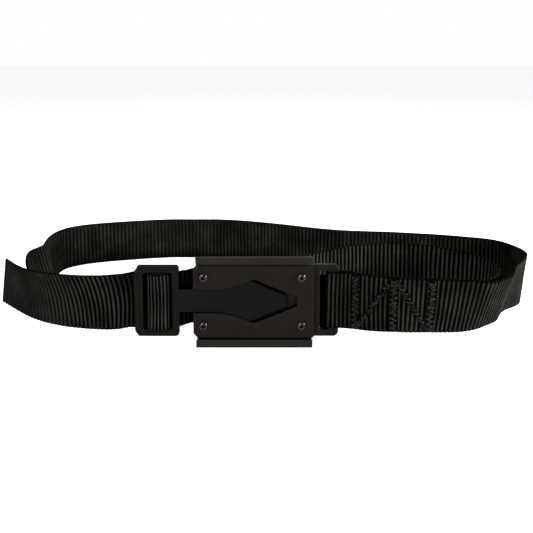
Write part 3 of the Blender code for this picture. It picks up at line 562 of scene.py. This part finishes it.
def bright_metal(name, base, rough, brushed=(900.0, 900.0, 900.0), metallic=1.0, dark=0.6):
    m = Nodes(name)
    line = m.noise(1.0, 3.0, 0.6, m.coords(brushed))
    cloud = m.noise(180.0, 4.0, 0.6)
    color = m.mix(m.rerange(cloud, 0.3, 0.7, 0.0, 1.0), (*base, 1), (*[c * dark for c in base], 1))
    return m.set(Base_Color=color, Roughness=m.rerange(line, 0.3, 0.7, rough - 0.07, rough + 0.1), Metallic=metallic,
                 Normal=m.bump(line, 0.00001, 0.5))


WEB = webbing_material()
THREAD = thread_material()
PLATE = coated_metal("black_coat_front_plate", (0.0080, 0.0064, 0.0048), (0.0114, 0.0093, 0.0071), 0.46, spec=0.165,
                     shade=0.010)
LOOP = coated_metal("black_coat_loop_plate", (0.0066, 0.0056, 0.0042), (0.0100, 0.0084, 0.0066), 0.5, spec=0.19)
# The release slide's coat is about twice as light as the plate's, as painted light for its flanges that face up towards
# the lamps.
SLIDE = coated_metal("black_coat_release_slide", (0.0158, 0.0138, 0.0102), (0.0216, 0.0190, 0.0144), 0.42, spec=0.2)
COVER = coated_metal("black_coat_rear_cover", (0.0120, 0.0105, 0.0090), (0.0180, 0.0155, 0.0135), 0.5)
TONGUE = moulded_plastic("black_acetal_tongue", (0.0027, 0.0023, 0.0016), (0.0045, 0.0039, 0.0028), 0.55)
STEEL = bright_metal("zinc_plated_steel", (0.34, 0.34, 0.33), 0.34)
BAR = bright_metal("blackened_bar", (0.05, 0.05, 0.05), 0.4)
SPRING = bright_metal("spring_wire", (0.42, 0.41, 0.39), 0.28)
MAGNET = bright_metal("nickel_plate", (0.55, 0.53, 0.48), 0.22)
SCREW = bright_metal("stainless_screw_heads", (0.115, 0.108, 0.095), 0.2, (2400.0, 2400.0, 2400.0), dark=0.3)
# Painted shade: a near-black coat for the screws' hex sockets and the outer band of each head, where the socket's depth
# and the head's rim fall in shade.
SOCKET_AND_RIM_SHADE = coated_metal("screw_socket_and_rim_painted_shade", (0.0050, 0.0044, 0.0036), (0.0080, 0.0070, 0.0060), 0.5, edge=0.2, spec=0.12)


def dress(node, mat):
    o = NODES[node]
    o.data.materials.clear()
    o.data.materials.append(mat)


dress("front_plate", PLATE)
dress("loop_plate", LOOP)
dress("release_slide", SLIDE)
dress("rear_cover", COVER)
dress("tongue", TONGUE)
dress("adjuster_bar", BAR)
dress("return_spring", SPRING)
for i in range(1, 5):
    dress(f"spacer_{i}", STEEL)
for i in (1, 2):
    dress(f"keeper_disc_{i}", STEEL)
    dress(f"magnet_{i}", MAGNET)


# ------------------------------------------------------------------- webbing
CUT = 0.3
s_arm, s_tail = START["arm"], START["tail"]
MAIN_NODES = ["webbing_sewn_end", "webbing_right_turn", "webbing_back", "webbing_left_turn",
              "webbing_pass_behind", "webbing_slack_turn"]
main = webbing("belt_webbing", 0.0, s_arm - CUT / 2)
arm = webbing("slack_webbing", s_arm + CUT / 2, s_tail - CUT / 2)
tail = webbing("tail_webbing", s_tail + CUT / 2, LENGTH)
for o in (main, arm, tail):
    o.data.materials.append(WEB)
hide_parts(*MAIN_NODES)
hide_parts("webbing_slack_arm")
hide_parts("webbing_tail")
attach(main, "buckle_and_belt")
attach(tail, "tongue")


# ----------------------------------------------------------------- stitching
def tube(verts, faces, pts, radius, sides=6):
    """Adds a round thread along the points."""
    pts = [Vector(p) for p in pts]
    base = len(verts)
    up = Vector((0, 1, 0))
    for i, p in enumerate(pts):
        a, b = pts[max(i - 1, 0)], pts[min(i + 1, len(pts) - 1)]
        t = (b - a).normalized()
        u = t.cross(up)
        if u.length < 1e-3:
            u = t.cross(Vector((1, 0, 0)))
        u.normalize()
        v = t.cross(u)
        for j in range(sides):
            w = 2 * math.pi * j / sides
            verts.append(p + (u * math.cos(w) + v * math.sin(w)) * radius)
    for i in range(len(pts) - 1):
        for j in range(sides):
            q = (j + 1) % sides
            faces.append((base + i * sides + j, base + i * sides + q,
                          base + (i + 1) * sides + q, base + (i + 1) * sides + j))
    faces.append(tuple(base + j for j in reversed(range(sides))))
    faces.append(tuple(base + (len(pts) - 1) * sides + j for j in range(sides)))


def on_strip(s, h, o):
    low, rise, nor, _ = frames([s])
    p = (low[0] + rise[0] * h + nor[0] * o * FRONT_SIDE) * MM
    return Vector(p) + SHIFT


def zigzag(a, b, half, step, phase, lift):
    """Points of a zigzag about the line from a to b, in (s, h), dipping into the webbing at each turn."""
    a, b = Vector(a), Vector(b)
    d = (b - a)
    n = int(d.length / step)
    t = d.normalized()
    across = Vector((t.y, -t.x))
    turns = []
    for i in range(n + 1):
        wob = 0.18 * math.sin(i * 2.3 + phase * 5.0)
        side = 1 if (i + phase) % 2 else -1
        turns.append(a + t * (i * step + 0.15 * math.sin(i * 1.9 + phase)) + across * side * (half + wob))
    out = []
    for p, q in zip(turns, turns[1:]):
        for k in range(5):
            f = k / 5
            s, h = p.lerp(q, f)
            out.append(on_strip(s, h, 0.78 + lift * math.sin(math.pi * f) ** 0.6))
    s, h = turns[-1]
    out.append(on_strip(s, h, 0.78))
    return out


def stitching(name, lines, nodes):
    verts, faces = [], []
    for a, b, half, step, phase, lift, r in lines:
        tube(verts, faces, zigzag(a, b, half, step, phase, lift), r * MM)
    me = bpy.data.meshes.new(name)
    me.from_pydata([tuple(v) for v in verts], [], faces)
    me.shade_smooth()
    o = bpy.data.objects.new(name, me)
    bpy.context.scene.collection.objects.link(o)
    me.materials.append(THREAD)
    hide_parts(*nodes)
    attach(o, "buckle_and_belt")
    return o


for i, s in enumerate(BAR_S):
    a, b = (s, 1.0), (s, WEB_W - 1.0)
    stitching(f"bar_stitching_{i + 1}", [(a, b, 3.3, 2.1, 0, 0.75, 0.34), (a, b, 2.9, 2.6, 1, 1.0, 0.34),
                                         (a, b, 1.5, 2.3, 0, 1.15, 0.30)], [f"stitch_bar_{i + 1}"])
for i, (a, b, up) in enumerate(DIAGONALS):
    p, q = (a, 4.0 if up else WEB_W - 4.0), (b, WEB_W - 4.0 if up else 4.0)
    stitching(f"diagonal_stitching_{i + 1}", [(p, q, 2.2, 2.1, 0, 0.75, 0.34), (p, q, 1.7, 2.5, 1, 1.0, 0.32)],
              [f"stitch_diagonal_{i + 1}"])


# -------------------------------------------------------------------- screws
def screw(name, cx, cz):
    """A button-head screw with a hexagonal socket."""
    bm = bmesh.new()
    n = 48
    hex_r = 1.6
    y_top, y_floor = -2.2, -0.55

    def ring(f, y):
        return [bm.verts.new((cx + f(a) * math.cos(a), y, cz + f(a) * math.sin(a)))
                for a in (2 * math.pi * i / n + 0.3 for i in range(n))]

    def hexa(scale):
        def f(a):
            w = (a - 0.15) % (math.pi / 3) - math.pi / 6
            return scale * math.cos(math.pi / 6) / math.cos(w)
        return f

    rings = [ring(hexa(hex_r * 0.93), y_floor), ring(hexa(hex_r), y_floor + -0.08), ring(hexa(hex_r), y_top + 0.22),
             ring(hexa(hex_r * 1.07), y_top + 0.04), ring(lambda a: 1.95, y_top)]
    for deg in range(10, 91, 10):
        w = math.radians(deg)
        r = 1.95 + (3.8 - 1.95) * math.sin(w)
        rings.append(ring(lambda a, r=r: r, y_top + 1.75 * (1 - math.cos(w))))
    for r, y in ((3.8, -0.42), (3.62, -0.3), (2.0, -0.3), (2.0, 13.5), (1.6, 13.9)):
        rings.append(ring(lambda a, r=r: r, y))
    for step, (p, q) in enumerate(zip(rings, rings[1:])):
        for i in range(n):
            j = (i + 1) % n
            # The socket walls and floor, and the head from about 60 degrees of its dome outwards and under, take the
            # painted shade material: shade in the socket, a shadow ring round the head.
            bm.faces.new((p[i], p[j], q[j], q[i])).material_index = int(step < 3 or step > 9)
    mid = bm.verts.new((cx, y_floor + 0.35, cz))
    for i in range(n):
        bm.faces.new((mid, rings[0][i], rings[0][(i + 1) % n])).material_index = 1
    bm.faces.new(rings[-1])
    for v in bm.verts:
        v.co = v.co * MM + SHIFT
    bmesh.ops.recalc_face_normals(bm, faces=bm.faces)
    me = bpy.data.meshes.new(name)
    bm.to_mesh(me)
    bm.free()
    me.shade_smooth()
    me.set_sharp_from_angle(angle=math.radians(38))
    me.materials.append(SCREW)
    me.materials.append(SOCKET_AND_RIM_SHADE)
    o = bpy.data.objects.new(name, me)
    bpy.context.scene.collection.objects.link(o)
    return o


k = 0
for x in (-54.7, 30.2):
    for sgn in (1, -1):
        k += 1
        o = screw(f"button_head_screw_{k}", x, ZC + sgn * 21.6)
        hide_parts(f"plate_screw_{k}")
        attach(o, "buckle_and_belt")

# -------------------------------------------------------------------- spring
# The real coil shortens as the slide comes towards its fixed end; here the spring's mesh is copied as it stands, with
# its transform baked in.
bpy.context.view_layer.update()
coil = bpy.data.objects.new("return_coil", NODES["return_spring"].data.copy())
coil.matrix_world = NODES["return_spring"].matrix_world.copy()
bpy.context.scene.collection.objects.link(coil)
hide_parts("return_spring")
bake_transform(coil)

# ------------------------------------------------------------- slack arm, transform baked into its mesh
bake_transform(arm)

# --------------------------------------------------------- floor, light, camera
bm = bmesh.new()
bmesh.ops.create_grid(bm, x_segments=1, y_segments=1, size=30.0)
me = bpy.data.meshes.new("floor")
bm.to_mesh(me)
bm.free()
floor = bpy.data.objects.new("floor", me)
floor.location = (0, 0, -0.0004)
bpy.context.scene.collection.objects.link(floor)
# The floor and the room are bright where the camera sees them, and dimmer as light on the belt,
# like a white sweep with flags between it and the object.
fm = Nodes("pale_floor")
ray = fm.add("ShaderNodeLightPath").outputs["Is Camera Ray"]
dim = fm.add("ShaderNodeBsdfDiffuse")
dim.inputs[0].default_value = (0.55, 0.55, 0.55, 1)
mixer = fm.add("ShaderNodeMixShader")
fm.put(mixer.inputs[0], ray)
fm.put(mixer.inputs[1], dim.outputs[0])
fm.set(Base_Color=(0.80, 0.80, 0.80, 1), Roughness=0.9, Specular_IOR_Level=0.1,
       Emission_Color=(1, 1, 1, 1), Emission_Strength=0.85)
fm.put(mixer.inputs[2], fm.bsdf.outputs[0])
fm.put(fm.out.inputs[0], mixer.outputs[0])
me.materials.append(fm.mat)

world_ = bpy.data.worlds.new("studio")
bpy.context.scene.world = world_
world_.use_nodes = True
wt = world_.node_tree
bg = wt.nodes["Background"]
bg.inputs[0].default_value = (1.0, 1.0, 1.0, 1.0)
wr = wt.nodes.new("ShaderNodeLightPath")
wm = wt.nodes.new("ShaderNodeMapRange")
wm.inputs["To Min"].default_value = 0.10
wm.inputs["To Max"].default_value = 1.0
wt.links.new(wr.outputs["Is Camera Ray"], wm.inputs["Value"])
wt.links.new(wm.outputs[0], bg.inputs[1])


def area(name, loc, target, size, watts, shape=(1.0, 1.0)):
    d = bpy.data.lights.new(name, "AREA")
    d.shape = "RECTANGLE"
    d.size, d.size_y = size * shape[0], size * shape[1]
    d.energy = watts
    o = bpy.data.objects.new(name, d)
    o.location = loc
    o.rotation_euler = (Vector(target) - Vector(loc)).to_track_quat("-Z", "Y").to_euler()
    bpy.context.scene.collection.objects.link(o)
    return o


area("key_left", (-0.75, -1.15, 0.75), (-0.05, -0.1, 0.04), 0.55, 12.5)
area("back", (0.1, 1.3, 0.9), (0.0, 0.1, 0.04), 0.8, 5)
area("fill_right", (1.35, -0.28, 0.62), (0.22, 0.03, 0.04), 0.6, 42)
rim_right = area("rim_right", (0.72, -0.95, 0.30), (0.215, -0.08, 0.025), 0.12, 0.045)
rim_right.data.spread = math.radians(13)
rim_left = area("rim_left", (-0.85, -0.75, 0.30), (-0.24, 0.0, 0.04), 0.3, 0.26)
rim_left.data.spread = math.radians(28)
area("top", (0.0, 0.0, 1.5), (0.0, 0.0, 0.04), 1.2, 9.4)

cam_data = bpy.data.cameras.new("camera")
cam = bpy.data.objects.new("camera", cam_data)
bpy.context.scene.collection.objects.link(cam)
TILT = math.radians(5.0)
cam.location = Vector((0.0, -432.6, 247.1)) * MM + SHIFT
cam.rotation_euler = (math.pi / 2 - TILT, 0, 0)
cam_data.sensor_width = 36.0
cam_data.lens = 35.08
cam_data.shift_y = -0.2985
cam_data.clip_start, cam_data.clip_end = 0.01, 100
bpy.context.scene.camera = cam
bpy.context.scene.view_settings.view_transform = "Standard"
bpy.context.scene.view_settings.look = "None"
